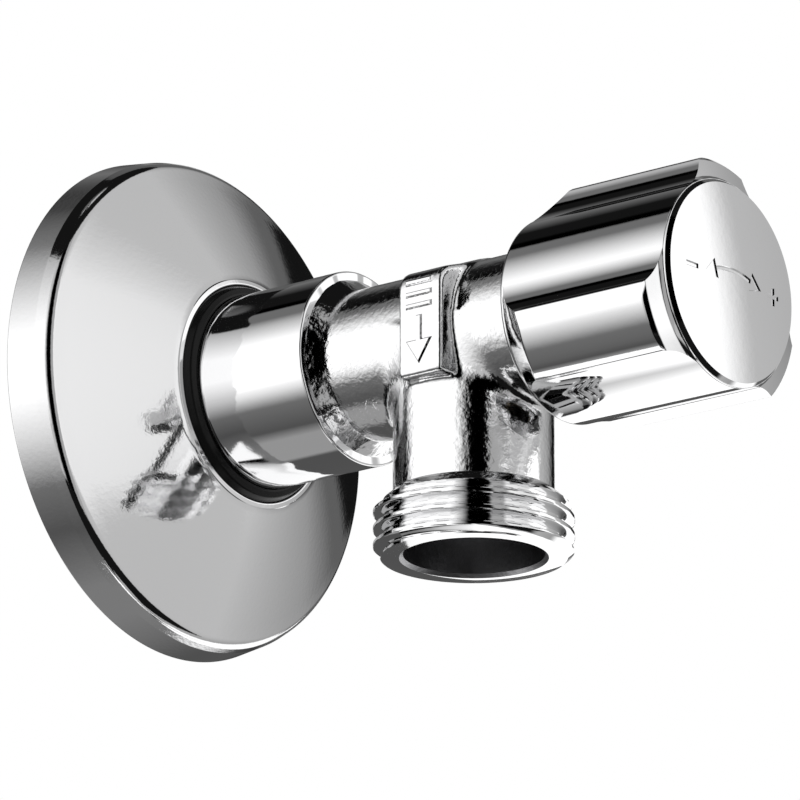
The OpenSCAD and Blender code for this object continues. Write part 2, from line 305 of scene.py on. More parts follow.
def surface_of(field, low, high, cell):
    """Points and quads of a field's zero surface: one point for each grid cell that it
    crosses, then moved onto the surface."""
    counts = [int(math.ceil((b - a) / cell)) + 1 for a, b in zip(low, high)]
    axes = [low[i] + cell * np.arange(counts[i]) for i in range(3)]
    value = field(*np.meshgrid(*axes, indexing="ij"))
    inside = value < 0
    shape = np.array(value.shape)
    total = np.zeros(shape - 1, int)
    corner = [(i, j, k) for i in (0, 1) for j in (0, 1) for k in (0, 1)]
    for c in corner:
        total += inside[tuple(slice(c[i], shape[i] - 1 + c[i]) for i in range(3))]
    active = (total > 0) & (total < 8)
    number = np.full(active.shape, -1)
    number[active] = np.arange(active.sum())
    place = np.argwhere(active)
    sums = np.zeros((len(place), 3))
    hits = np.zeros(len(place))
    for a in corner:
        for axis in range(3):
            if a[axis]:
                continue
            b = list(a)
            b[axis] = 1
            va = value[tuple((place + a).T)]
            vb = value[tuple((place + b).T)]
            crossing = (va < 0) != (vb < 0)
            t = np.where(crossing, va / np.where(crossing, va - vb, 1), 0)
            at = np.tile(np.array(a, float), (len(place), 1))
            at[:, axis] = t
            sums += at * crossing[:, None]
            hits += crossing
    points = (place + sums / hits[:, None]) * cell + np.array(low)
    for _ in range(5):
        grad = slope_of(field, points)
        size = np.maximum((grad * grad).sum(1), 0.05)
        points -= grad * (field(*points.T) / size)[:, None]
    quads = []
    for axis in range(3):
        u, v = [i for i in range(3) if i != axis]
        first = [slice(1, -1)] * 3
        first[axis] = slice(0, -1)
        second = [slice(1, -1)] * 3
        second[axis] = slice(1, None)
        change = inside[tuple(first)] != inside[tuple(second)]
        at = np.argwhere(change)
        at[:, u] += 1
        at[:, v] += 1
        ring = []
        for du, dv in ((1, 1), (0, 1), (0, 0), (1, 0)):
            cellat = at.copy()
            cellat[:, u] -= du
            cellat[:, v] -= dv
            ring.append(number[tuple(cellat.T)])
        quads.append(np.stack(ring, 1))
    return points, np.concatenate(quads)


def lumps(x, s, z, size, seed):
    """Smooth noise between about -1 and 1, with lumps of a size in millimetres."""
    return noise.noise(Vector((x / size + seed, s / size, z / size)))


def cast_mesh(material):
    """The cast core, outlet tube and flats, with a slightly uneven skin."""
    reach = FLAT_X + 0.6
    low = (-reach, CAST_FROM - 0.5, -TUBE_TO - 0.5)
    high = (reach, CORE_END + 0.5, CORE_R + 1.5)
    points, quads = surface_of(casting, low, high, 0.22)
    grad = slope_of(casting, points)
    grad /= np.linalg.norm(grad, axis=1)[:, None]
    for i, (x, s, z) in enumerate(points):
        on_flat = min(1.0, max(0.0, (FLAT_X - 0.1 - abs(x)) / 0.5))
        rise = 0.012 * lumps(x, s, z, 1.7, 3.1) + 0.009 * lumps(x, s, z, 0.8, 9.4)
        points[i] += grad[i] * rise * (0.15 + 0.85 * on_flat)
    placed = [(x, -s, z) for x, s, z in points]
    return make_object("cast", placed, quads.tolist(), material)


# ---------------------------------------------------------------------------
# Threads
# ---------------------------------------------------------------------------
def thread_radius(turn, along):
    """Radius of a G thread at an angle and a distance along its axis."""
    phase = (along / PITCH - turn / TURN) % 1.0
    slope = 0.5 - abs(phase - 0.5)
    depth = min(1.0, max(0.0, (slope - 0.10) / 0.30))
    ease = depth * depth * (3 - 2 * depth)
    return THREAD_R - THREAD_DEPTH * (0.55 * depth + 0.45 * ease)


def spaced(start, end, step):
    """Evenly spaced levels from start to end, about a step apart."""
    count = max(1, round(abs(end - start) / step))
    return [start + (end - start) * k / count for k in range(count + 1)]


OUTLET_THREAD = 7.35
END_CHAMFER = 0.55


def outlet_thread(material):
    """The outlet's threaded end, from inside the tube down to its end face."""
    top = OUTLET_DROP - OUTLET_THREAD

    def radius_at(turn, depth):
        lead_in = OUTLET_R - 0.35 + (depth - top) * 1.15
        chamfer = THREAD_R - END_CHAMFER * 1.5 + (OUTLET_DROP - depth) * 1.2
        return min(thread_radius(turn, depth), lead_in, chamfer)

    turns = [TURN * k / SEGMENTS for k in range(SEGMENTS)]
    return grid_solid("outlet_thread", radius_at, turns,
                      spaced(top, OUTLET_DROP, 0.07), material, outlet_point)


SEAL_FROM, SEAL_TO = stations("inlet_seal_ring")
SEAL_GROOVE_R = 9.3


def inlet_thread(material):
    """The inlet's threaded end, with the groove for its seal."""
    def radius_at(turn, s):
        chamfer = THREAD_R - END_CHAMFER * 1.5 + (s - INLET_END) * 1.2
        full = thread_radius(turn, s)
        if s > SEAL_TO:
            full = THREAD_R
        elif s > SEAL_FROM:
            full = SEAL_GROOVE_R
        return min(full, chamfer)

    turns = [TURN * k / SEGMENTS for k in range(SEGMENTS)]
    levels = spaced(INLET_END, SEAL_FROM - 0.01, 0.07)
    levels += [SEAL_FROM + 0.01, SEAL_TO - 0.01, SEAL_TO + 0.01, 0.6]
    return grid_solid("inlet_thread", radius_at, turns, levels, material)


# ---------------------------------------------------------------------------
# Valve body
# ---------------------------------------------------------------------------
def neck(material):
    """The polished neck, with a slightly rough edge where the casting steps down."""
    def shift(turn, r, s):
        near = max(0.0, 1 - (NECK_TO - s) / 0.4)
        if near == 0 or r < CORE_R:
            return 0, 0
        x, z = 10 * math.cos(turn), 10 * math.sin(turn)
        return (0.03 * near * lumps(x, 5, z, 1.1, 1.7), 0.06 * near * lumps(x, 2, z, 1.4, 6.2))

    corners = [(0, 0, 0), (NECK_R, 0, 0.25), (NECK_R, NECK_TO, 0.25), (CORE_R + 1, NECK_TO, 0),
               (0, NECK_TO, 0)]
    return turned("neck", rounded(corners), material, shift=shift)


def shoulder(material):
    """The rough cone between the neck's end and the core."""
    def shift(turn, r, s):
        if r < 1:
            return 0, 0
        x, z = r * math.cos(turn), r * math.sin(turn)
        rough = lumps(x, s, z, 1.0, 4.4) + 0.5 * lumps(x, s, z, 0.45, 8.1)
        return (0.03 * rough, 0.02 * rough)

    top, foot = (NECK_R - 0.9, NECK_TO - 0.1), (CORE_R - 0.12, NECK_TO + 1.5)
    cone = stretch(top, foot, 8, range(9))
    outline = [(0, NECK_TO - 1), (top[0], NECK_TO - 1)] + cone + [(0, foot[1])]
    return turned("shoulder", outline, material, shift=shift)


def axial_bore(material):
    """What the inlet, the orifice, the chamber and the bonnet's thread take out of the body."""
    inlet_r, orifice_r, chamber_r, bonnet_r = 6.2, 4.0, 6.6, 6.9
    seat_at, bonnet_at = 32.0, 45.0
    outline = [(0, INLET_END - 1), (inlet_r + 1.5, INLET_END - 1), (inlet_r, INLET_END + 0.5),
               (inlet_r, 23), (orifice_r, 25), (orifice_r, seat_at),
               (orifice_r + 1, seat_at), (orifice_r + 1.6, seat_at - 1.4),
               (chamber_r, seat_at - 1.4), (chamber_r, bonnet_at), (bonnet_r, bonnet_at),
               (bonnet_r, CORE_END + 1), (0, CORE_END + 1)]
    return turned("axial_bore", outline, material, segments=128)


def outlet_bore(material):
    """What the outlet's bore takes out of the body."""
    mouth_r, deep_r = 7.5, 5.2
    outline = [(0, 0), (deep_r, 0), (deep_r, 11), (mouth_r, 13.5), (mouth_r, OUTLET_DROP - 0.4),
               (mouth_r + 0.4, OUTLET_DROP), (mouth_r + 0.9, OUTLET_DROP + 0.5), (0, OUTLET_DROP + 0.5)]
    return turned("outlet_bore", outline, material, outlet_point, segments=160)


def inset(outline, distance):
    """An outline with each edge moved inwards; the outline runs counter-clockwise."""
    out = []
    count = len(outline)
    for i in range(count):
        here = Vector(outline[i])
        before = (here - Vector(outline[i - 1])).normalized()
        after = (Vector(outline[(i + 1) % count]) - here).normalized()
        inward = Vector((-before.y - after.y, before.x + after.x))
        share = max(0.3, inward.length_squared / 2)
        out.append(tuple(here + inward * (distance / share)))
    return out


def relief(name, outline, rings, place, material):
    """A solid through copies of an outline. Each ring is a (level, inset) pair and
    place(a, b, level) puts an outline point in the row frame."""
    points = []
    for level, distance in rings:
        points += [place(a, b, level) for a, b in inset(outline, distance)]
    count = len(outline)
    last = len(points) - count
    faces = [tuple(range(count)), tuple(reversed(range(last, last + count)))]
    for start in range(0, last, count):
        for k in range(count):
            n = (k + 1) % count
            faces.append((start + k, start + n, start + count + n, start + count + k))
    return make_object(name, points, faces, material)


def box_outline(x_from, x_to, y_from, y_to):
    """The outline of a rectangle, counter-clockwise."""
    return [(x_from, y_from), (x_to, y_from), (x_to, y_to), (x_from, y_to)]


def flow_marks(material):
    """A raised arrow, pointing down the outlet, with bars above it, on the left flat."""
    middle = (FLAT_FROM + FLAT_TO) / 2
    shaft, head, tip, wings = 0.42, 1.75, -5.0, -2.3
    outlines = [[(middle - shaft, 0.4), (middle - shaft, wings), (middle - head, wings), (middle, tip),
                 (middle + head, wings), (middle + shaft, wings), (middle + shaft, 0.4)]]
    for k in range(3):
        z = 1.15 + 1.3 * k
        outlines.append(box_outline(middle - head, middle + head, z, z + 0.62))
    rings = [(FLAT_X - 0.3, -0.1), (FLAT_X - 0.02, -0.02), (FLAT_X + 0.2, 0.17)]
    marks = []
    for outline in outlines:
        marks.append(relief("mark", outline, rings, lambda s, z, x: (-x, -s, z), material))
    return marks


def build_body(polished, cast, bored):
    """One casting: core, tube and flats, with the neck, threads and marks joined and the bores cut."""
    body = cast_mesh(cast)
    combine(body, [shoulder(cast), neck(polished), inlet_thread(polished), outlet_thread(polished)]
            + flow_marks(cast), "UNION")
    combine(body, [axial_bore(bored), outlet_bore(bored)], "DIFFERENCE")
    body.name = "body_casting"
    sharpen(body, 42)
    return body


# ---------------------------------------------------------------------------
# Rosette, rings
# ---------------------------------------------------------------------------
ROSETTE_EDGE_R, ROSETTE_EDGE_AT = 26.65, 5.05
ROSETTE_HOLE_R = 12.0
ROSETTE_FACE_AT = 11.3
SHEET = 0.8


def face_arc(r_from, s_from, r_to, s_to, crown, steps=24):
    """A slightly crowned stretch between two outline points."""
    out = []
    for k in range(steps + 1):
        t = k / steps
        out.append((r_from + (r_to - r_from) * t, s_from + (s_to - s_from) * t + crown * 4 * t * (1 - t)))
    return out


def build_rosette(material):
    """Pressed sheet cover: skirt, rolled edge, crowned face and rolled lip."""
    lip = ROSETTE_HOLE_R
    face = face_arc(ROSETTE_EDGE_R - 1.5, ROSETTE_EDGE_AT + 0.7, lip + 0.75, ROSETTE_FACE_AT + 0.08, 0.1)
    back = [(r - 0.1, s - SHEET, 0) for r, s in reversed(face)]
    edge = [(ROSETTE_R - SHEET, 0, 0.2), (ROSETTE_R, 0, 0.15),
            (ROSETTE_EDGE_R + 0.5, ROSETTE_EDGE_AT - 1.6, 0.8), (ROSETTE_EDGE_R, ROSETTE_EDGE_AT, 1.6)]
    roll = [(lip + 0.6, ROSETTE_FACE_AT + 0.2, 0.1), (lip - 0.02, ROSETTE_TO, 0.18),
            (lip, ROSETTE_FACE_AT - 1.1, 0.3)]
    outline = rounded(edge + [(r, s, 0) for r, s in face] + roll + back, steps=10)
    return turned("rosette_cover", outline, material, segments=384)


def build_grip_ring(material):
    """Black ring that fills the gap between lip and neck, with a sloping glossy bead."""
    low, high = stations("rosette_grip_ring")
    inside, outside = NECK_R + 0.05, ROSETTE_HOLE_R - 0.02
    outline = rounded([(inside, low, 0.1), (outside - 0.4, low, 0.15), (outside, low + 0.4, 0.15),
                       (outside, ROSETTE_FACE_AT + 0.1, 0.1), (outside - 0.45, high - 0.3, 0.5),
                       (inside + 0.25, high, 0.25), (inside, high, 0.06)])
    return turned("grip_ring", outline, material)


def build_inlet_seal(material):
    """Flat sealing ring with a rounded crown in the inlet's groove."""
    middle = (SEAL_FROM + SEAL_TO) / 2
    half = (SEAL_TO - SEAL_FROM) / 2 - 0.03
    outline = rounded([(SEAL_GROOVE_R + 0.02, middle - half, 0.1), (THREAD_R - 0.05, middle - half, 0.45),
                       (THREAD_R + 0.1, middle, 0.6), (THREAD_R - 0.05, middle + half, 0.45),
                       (SEAL_GROOVE_R + 0.02, middle + half, 0.1)])
    return turned("inlet_seal", outline, material)


# ---------------------------------------------------------------------------
# Handle
# ---------------------------------------------------------------------------
HANDLE_R = 11.1
RIB_R = 13.7
REAR_ROUND = 0.5
RIB_FROM, RIB_TO = 57.4, 74.4
RIB_ANGLE = 88.5
RIB_COUNT = 3
RIB_ROUND_FROM = 8.5
RIB_EDGE, RIB_EDGE_R = 16.3, 13.4
RIB_FOOT = 34.6
CAVITY_R, CAVITY_TO = 9.4, 67.2
INSERT_R, WEB_TO = 5.2, 72.2
CAP_SKIRT_R = 9.35


def on_circle(radius, degrees):
    """The point of a circle around the origin at an angle."""
    turn = math.radians(degrees)
    return Vector((radius * math.cos(turn), radius * math.sin(turn)))


def arc_between(start, end, bulge, steps):
    """Points of a shallow arc between two points, bulging to its right."""
    middle = (start + end) / 2
    across = end - start
    side = Vector((across.y, -across.x)) * (bulge / across.length)
    points = []
    for k in range(steps + 1):
        t = k / steps
        points.append(start + across * t + side * 4 * t * (1 - t))
    return points


def rib_side():
    """Points down one side of a rib in three stretches: the rounded shoulder of the crest,
    the edge, and the hollow flank that runs into the round base."""
    top = on_circle(RIB_R, RIB_ROUND_FROM)
    edge = on_circle(RIB_EDGE_R, RIB_EDGE)
    shoulder = arc_between(top, edge, 0.09, 8)
    narrowing = RIB_EDGE_R * math.cos(math.radians(RIB_FOOT - RIB_EDGE)) - HANDLE_R
    centre_r = (RIB_EDGE_R ** 2 - HANDLE_R ** 2) / (2 * narrowing)
    hollow_r = centre_r - HANDLE_R
    centre = on_circle(centre_r, RIB_FOOT)
    facing = math.degrees(math.atan2(centre.y - edge.y, centre.x - edge.x))
    hollow = [centre - on_circle(hollow_r, facing + (RIB_FOOT - facing) * k / 40) for k in range(41)]
    before = shoulder[-1].lerp(shoulder[-2], 0.5)
    after = hollow[1]
    bend = [before.lerp(edge, t).lerp(edge.lerp(after, t), t) for t in [k / 6 for k in range(7)]]
    return shoulder[:-1] + bend, bend, bend[-1:] + hollow[2:]


SHOULDER, BEND, HOLLOW = rib_side()
RIB_SIDE = SHOULDER[:-1] + HOLLOW
ALONG_SIDE = np.cumsum([0] + [(b - a).length for a, b in zip(RIB_SIDE, RIB_SIDE[1:])])
SIDE_RADIUS = np.array([p.length for p in RIB_SIDE])
BEND_FROM = float(ALONG_SIDE[len(SHOULDER) - len(BEND)])
BEND_TO = float(ALONG_SIDE[len(SHOULDER) - 1])
CREST_STEPS, SHOULDER_STEPS, BEND_STEPS, HOLLOW_STEPS, GAP_STEPS = 4, 7, 6, 24, 24


def side_point(distance):
    """The point at a distance down the rib's side."""
    x = np.interp(distance, ALONG_SIDE, [p.x for p in RIB_SIDE])
    y = np.interp(distance, ALONG_SIDE, [p.y for p in RIB_SIDE])
    return Vector((float(x), float(y)))


def half_rib(top):
    """(angle, radius) points across half a rib that is cut off at the radius top."""
    start = float(np.interp(-top, -SIDE_RADIUS, ALONG_SIDE))
    stops = [start, max(start, BEND_FROM), max(start, BEND_TO), float(ALONG_SIDE[-1])]
    counts = [SHOULDER_STEPS, BEND_STEPS, HOLLOW_STEPS]
    distances = [start]
    for a, b, count in zip(stops, stops[1:], counts):
        distances += [a + (b - a) * k / count for k in range(1, count + 1)]
    side = [side_point(d) for d in distances]
    first = math.atan2(side[0].y, side[0].x)
    top = min(top, side[0].length)
    points = [(first * k / CREST_STEPS, top) for k in range(CREST_STEPS)]
    points += [(math.atan2(p.y, p.x), p.length) for p in side]
    return points + [(points[-1][0] + 0.01, HANDLE_R)]


def handle_ring(top):
    """(angle, radius) points once around the handle where its ribs are cut off at top."""
    half = half_rib(max(top, HANDLE_R + 0.004))
    full = [(-a, r) for a, r in reversed(half[1:])] + half
    step = TURN / RIB_COUNT
    gap = step - 2 * half[-1][0]
    ring = []
    for i in range(RIB_COUNT):
        middle = math.radians(RIB_ANGLE) + i * step
        ring += [(middle + a, r if top > HANDLE_R else HANDLE_R) for a, r in full]
        ring += [(middle + half[-1][0] + gap * k / GAP_STEPS, HANDLE_R) for k in range(1, GAP_STEPS)]
    return ring


def handle_levels():
    """(station, base radius, rib's top radius) rows from the rear to the front."""
    rows = []
    for k in range(9):
        a = math.radians(90 * k / 8)
        rows.append((HANDLE_FROM + REAR_ROUND * (1 - math.cos(a)),
                     HANDLE_R - REAR_ROUND * (1 - math.sin(a)), 0))
    ramp = (HANDLE_FROM + REAR_ROUND + 0.05, HANDLE_R)
    crest_from, crest_to = (RIB_FROM, RIB_R), (RIB_TO - 1.05, RIB_R)
    front = (RIB_TO - 0.57, RIB_R - 0.39)
    foot_top, foot = (RIB_TO - 0.06, HANDLE_R + 0.36), (RIB_TO + 0.4, HANDLE_R)
    line = [ramp] + stretch(ramp, crest_from, 14, range(1, 13))
    line += fillet(ramp, crest_from, crest_to, 0.8, 6)
    line += stretch(crest_from, crest_to, 8, range(1, 8))
    line += fillet(crest_from, crest_to, front, 0.25, 3)
    line += fillet(crest_to, front, foot_top, 0.12, 3)
    line += stretch(front, foot_top, 6, range(1, 6))
    line += fillet(front, foot_top, foot, 0.15, 4)
    line += fillet(foot_top, foot, (CAP_FROM + 0.3, HANDLE_R), 0.15, 4)
    rows += [(s, HANDLE_R, top) for s, top in line]
    rows += [(CAP_FROM - 0.03, HANDLE_R, 0), (CAP_FROM, HANDLE_R - 0.03, 0)]
    rows.sort(key=lambda row: row[0])
    return rows


def plug(name, radius, start, end, material):
    """A plain cylinder on the valve axis, to cut with."""
    return turned(name, [(0, start), (radius, start), (radius, end), (0, end)], material)


def build_handle(material):
    """Chromed shell: round base, three raised ribs, rear cavity, web and front recess."""
    rows = handle_levels()
    rings = [[valve_point(r + base - HANDLE_R, turn, s) for turn, r in handle_ring(top)]
             for s, base, top in rows]
    shell = closed_bar("handle_cover", rings, valve_point(0, 0, rows[0][0]),
                       valve_point(0, 0, rows[-1][0]), material)
    merge_close(shell, 0.0001)
    rear = turned("rear", [(0, HANDLE_FROM - 1), (CAVITY_R + 1.4, HANDLE_FROM - 1),
                           (CAVITY_R, HANDLE_FROM + 0.4), (CAVITY_R, CAVITY_TO), (0, CAVITY_TO)], material)
    web = plug("web", INSERT_R, CAVITY_TO - 1, WEB_TO + 1, material)
    recess = plug("recess", CAP_SKIRT_R, WEB_TO, CAP_FROM + 1, material)
    combine(shell, [rear, web, recess], "DIFFERENCE")
    shell.name = "handle_cover"
    sharpen(shell, 38)
    return shell


def merge_close(obj, distance):
    """Joins points closer than a distance in millimetres."""
    work = bmesh.new()
    work.from_mesh(obj.data)
    bmesh.ops.remove_doubles(work, verts=work.verts, dist=distance * MM)
    work.to_mesh(obj.data)
    work.free()


CAP_R = HANDLE_R - 0.04
CAP_DOME = 0.3
CAP_FACE_R = CAP_R - 0.4
CAP_BEVEL = (CAP_R - 0.02, HANDLE_TO - CAP_DOME - 0.47)


def cap_face(r):
    """Station of the domed face at a radius."""
    return HANDLE_TO - CAP_DOME * (r / CAP_FACE_R) ** 2


def cap_marks(material):
    """Cutters for an open and close mark: an arc with two arrow heads, a plus and a minus."""
    centre, radius, half, sweep = -9.0, 10.2, 0.26, math.radians(17)
    arc = [math.pi / 2 + sweep * (2 * k / 12 - 1) for k in range(13)]
    line = [((radius + half) * math.cos(a), centre + (radius + half) * math.sin(a)) for a in arc]
    line += [((radius - half) * math.cos(a), centre + (radius - half) * math.sin(a)) for a in reversed(arc)]
    outlines = [line]
    for side in (-1, 1):
        a = math.pi / 2 + side * sweep
        along = Vector((-math.sin(a), math.cos(a))) * side
        out = Vector((math.cos(a), math.sin(a)))
        foot = Vector((0, centre)) + out * radius
        head = [foot - out * 1.1, foot + along * 2.0, foot + out * 1.1]
        outlines.append([tuple(p) for p in (head if side < 0 else reversed(head))])
    outlines.append(box_outline(-8.1, -6.1, -0.1, 0.45))
    outlines.append(box_outline(6.1, 8.1, -0.1, 0.45))
    outlines.append(box_outline(6.82, 7.38, -0.83, 1.18))
    def on_face(u, v, lift):
        return (u, -cap_face(math.hypot(u, v)) - lift, v)

    rings = [(-0.16, 0.13), (0.16, -0.13)]
    return [relief("mark", outline, rings, on_face, material) for outline in outlines]


def build_cap(material):
    """Slightly domed end cap with a snap skirt and an engraved open and close mark."""
    steps = 28
    face = []
    for k in range(steps + 1):
        r = CAP_FACE_R * (1 - k / steps)
        face.append((r, cap_face(r), 0))
    skirt_in = CAP_SKIRT_R - 0.7
    rim = [(0, CAP_FROM, 0), (skirt_in, CAP_FROM, 0.15), (skirt_in, WEB_TO + 0.3, 0.15),
           (CAP_SKIRT_R, WEB_TO + 0.3, 0.2), (CAP_SKIRT_R, CAP_FROM, 0.05), (CAP_R, CAP_FROM, 0.03),
           (*CAP_BEVEL, 0.1)]
    cap = turned("handle_end_cap", rounded(rim + face, steps=4), material)
    combine(cap, cap_marks(material), "DIFFERENCE")
    cap.name = "handle_end_cap"
    sharpen(cap, 30)
    return cap


# ---------------------------------------------------------------------------
# Materials
# ---------------------------------------------------------------------------
def new_material(name):
    """A new node material, its node tree and its shader."""
    mat = bpy.data.materials.new(name)
    mat.use_nodes = True
    tree = mat.node_tree
    shader = tree.nodes["Principled BSDF"]
    return mat, tree, shader


def add(tree, kind, **values):
    """A new node with its inputs, or else its settings, set to values."""
    node = tree.nodes.new(kind)
    for key, value in values.items():
        if key in node.inputs:
            node.inputs[key].default_value = value
        else:
            setattr(node, key, value)
    return node


def chrome(name, colour, roughness, grain_size, grain_bump, smear=0.02):
    """Bright plating: faint smears in the gloss and a fine surface ripple."""
    mat, tree, shader = new_material(name)
    shader.inputs["Metallic"].default_value = 1.0
    shader.inputs["Base Color"].default_value = (*colour, 1)
    where = add(tree, "ShaderNodeTexCoord")
    smears = add(tree, "ShaderNodeTexNoise", Scale=90.0, Detail=5.0, Roughness=0.6)
    tree.links.new(where.outputs["Object"], smears.inputs["Vector"])
    gloss = add(tree, "ShaderNodeMapRange")
    gloss.inputs["From Min"].default_value = 0.35
    gloss.inputs["From Max"].default_value = 0.75
    gloss.inputs["To Min"].default_value = roughness
    gloss.inputs["To Max"].default_value = roughness + smear
    tree.links.new(smears.outputs["Fac"], gloss.inputs["Value"])
    tree.links.new(gloss.outputs["Result"], shader.inputs["Roughness"])
    grain = add(tree, "ShaderNodeTexNoise", Scale=1 / grain_size, Detail=3.0, Roughness=0.5)
    tree.links.new(where.outputs["Object"], grain.inputs["Vector"])
    bump = add(tree, "ShaderNodeBump", Strength=grain_bump, Distance=0.0001)
    tree.links.new(grain.outputs["Fac"], bump.inputs["Height"])
    tree.links.new(bump.outputs["Normal"], shader.inputs["Normal"])
    return mat


def plain(name, colour, roughness, metallic=0.0, grain_size=0.0004, grain_bump=0.2, shine=0.5):
    """A moulded or turned surface with a fine grain in its gloss, colour and relief."""
    mat, tree, shader = new_material(name)
    shader.inputs["Metallic"].default_value = metallic
    shader.inputs["Specular IOR Level"].default_value = shine
    where = add(tree, "ShaderNodeTexCoord")
    grain = add(tree, "ShaderNodeTexNoise", Scale=1 / grain_size, Detail=4.0, Roughness=0.6)
    tree.links.new(where.outputs["Object"], grain.inputs["Vector"])
    shade = add(tree, "ShaderNodeMixRGB")
    shade.inputs["Color1"].default_value = (*[c * 0.85 for c in colour], 1)
    shade.inputs["Color2"].default_value = (*[min(1, c * 1.12) for c in colour], 1)
    tree.links.new(grain.outputs["Fac"], shade.inputs["Fac"])
    tree.links.new(shade.outputs["Color"], shader.inputs["Base Color"])
    gloss = add(tree, "ShaderNodeMapRange")
    gloss.inputs["To Min"].default_value = roughness * 0.8
    gloss.inputs["To Max"].default_value = roughness * 1.25
    tree.links.new(grain.outputs["Fac"], gloss.inputs["Value"])
    tree.links.new(gloss.outputs["Result"], shader.inputs["Roughness"])
    bump = add(tree, "ShaderNodeBump", Strength=grain_bump, Distance=0.0001)
    tree.links.new(grain.outputs["Fac"], bump.inputs["Height"])
    tree.links.new(bump.outputs["Normal"], shader.inputs["Normal"])
    return mat


CHROME = (0.86, 0.86, 0.865)
polished_chrome = chrome("polished_chrome", CHROME, 0.03, 0.0008, 0.02)
pressed_chrome = chrome("pressed_chrome", CHROME, 0.045, 0.0005, 0.07, 0.03)
cast_chrome = chrome("cast_chrome", CHROME, 0.05, 0.0005, 0.35, 0.04)
bored_chrome = chrome("bored_chrome", (0.36, 0.36, 0.37), 0.3, 0.0005, 0.3, 0.1)
black_rubber = plain("black_rubber", (0.006, 0.006, 0.006), 0.16, grain_bump=0.1, shine=0.15)
white_seal = plain("white_seal", (0.72, 0.72, 0.69), 0.5)
brass = plain("brass", (0.60, 0.52, 0.38), 0.25, 1.0)
fibre = plain("fibre", (0.35, 0.08, 0.05), 0.8)
spring_steel = plain("spring_steel", (0.45, 0.45, 0.47), 0.3, 1.0)


# ---------------------------------------------------------------------------
# The pieces, each on its body
# ---------------------------------------------------------------------------
def settle(piece, body, slot, *nodes):
    """Puts a piece on its body, in place of CAD nodes. The slot argument is not used."""
    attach(piece, body)
    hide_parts(*nodes)


settle(build_body(polished_chrome, cast_chrome, bored_chrome), "valve", "chrome_cast", "valve_body")
settle(build_inlet_seal(white_seal), "valve", "white_seal", "inlet_seal_ring")
settle(build_rosette(pressed_chrome), "rosette", "chrome_sheet", "wall_rosette")
settle(build_grip_ring(black_rubber), "rosette", "black_rubber", "rosette_grip_ring")
settle(build_handle(polished_chrome), "handle", "chrome_handle", "handle_shell")
settle(build_cap(polished_chrome), "handle", "chrome_cap", "handle_cap")

FINISHES = {"brass": brass, "black_rubber": black_rubber, "white_seal": white_seal,
            "fibre": fibre, "spring_steel": spring_steel}
slot_of = {part["node"]: part["material_slot"] for part in frame["record"]["subparts"]}
for name, obj in frame["nodes"].items():
    finish = FINISHES.get(slot_of.get(name))
    if finish:
        obj.data.materials.clear()
        obj.data.materials.append(finish)

# ---------------------------------------------------------------------------
# Camera, light and floor
# ---------------------------------------------------------------------------
VIEW_AZIMUTH, VIEW_ELEVATION = math.radians(-51.81), math.radians(-16.98)
VIEW_DISTANCE = 0.86483
VIEW_TARGET = Vector((0, -0.03164, -0.00449))
LENS_MM, SENSOR_MM = 364.905, 36.0


def place_camera():
    """The camera, far off and a little below, looking up at the valve."""
    data = bpy.data.cameras.new("camera")
    cam = bpy.data.objects.new("camera", data)
    bpy.context.scene.collection.objects.link(cam)
    back = Vector((math.sin(VIEW_AZIMUTH) * math.cos(VIEW_ELEVATION),
                   -math.cos(VIEW_AZIMUTH) * math.cos(VIEW_ELEVATION),
                   math.sin(VIEW_ELEVATION)))
    cam.location = VIEW_TARGET + back * VIEW_DISTANCE
    cam.rotation_euler = back.to_track_quat("Z", "Y").to_euler()
    data.sensor_width = SENSOR_MM
    data.lens = LENS_MM
    data.clip_start = 0.01
    data.clip_end = 20
    bpy.context.scene.camera = cam


# Brightness of the studio as an eye sees it, from 0 to 1, at angles in degrees.
# Around the valve axis, 0 is right and 90 is up. Well behind the valve there is a white wall on
# the left, a grey floor, a dim wall on the right and a black strip overhead.
AROUND_AXIS = [(-180, 1.0), (-165, 1.0), (-140, 0.4), (-110, 0.3), (-97, 0.55), (-66, 0.55),
               (-60, 0.3), (0, 0.3), (25, 0.2), (50, 0.4), (75, 0.1), (90, 0.1), (94, 0.0),
               (100, 0.0), (102, 0.4), (112, 0.4), (130, 0.8), (145, 1.0)]
# Beside the valve there is a lamp low on the right, and the white wall on the left.
BESIDE_AXIS = [(-180, 1.0), (-160, 0.8), (-140, 0.4), (-120, 0.3), (-90, 0.45), (-70, 0.45),
               (0, 0.2), (15, 0.8), (30, 0.8), (45, 0.35), (85, 0.25), (110, 0.45), (155, 1.0)]
# In front, 0 is ahead and 90 is right: white on the left, a black card, and grey on the right.
AROUND_ROOM = [(-180, 1.0), (-80, 1.0), (-60, 0.0), (-33, 0.0), (-29, 0.6), (-15, 0.6), (-10, 0.9),
               (30, 0.8), (80, 0.55), (90, 0.35), (180, 0.35)]
# The most that the front of the studio shows at each height above the horizon.
BY_HEIGHT = [(-90, 0.6), (-15, 0.7), (-3, 1.0), (20, 1.0), (45, 0.7), (90, 0.65)]
# How bright the card beside the wall is, by its distance in millimetres along the wall.
CARD = [(-24, 1.0), (3.5, 1.0), (4.5, 0.0), (11.5, 0.0), (13, 0.45), (20, 0.75), (50, 1.0), (250, 1.0)]
STUDIO_POWER = 1.25
BLACK_CARD = 0.006


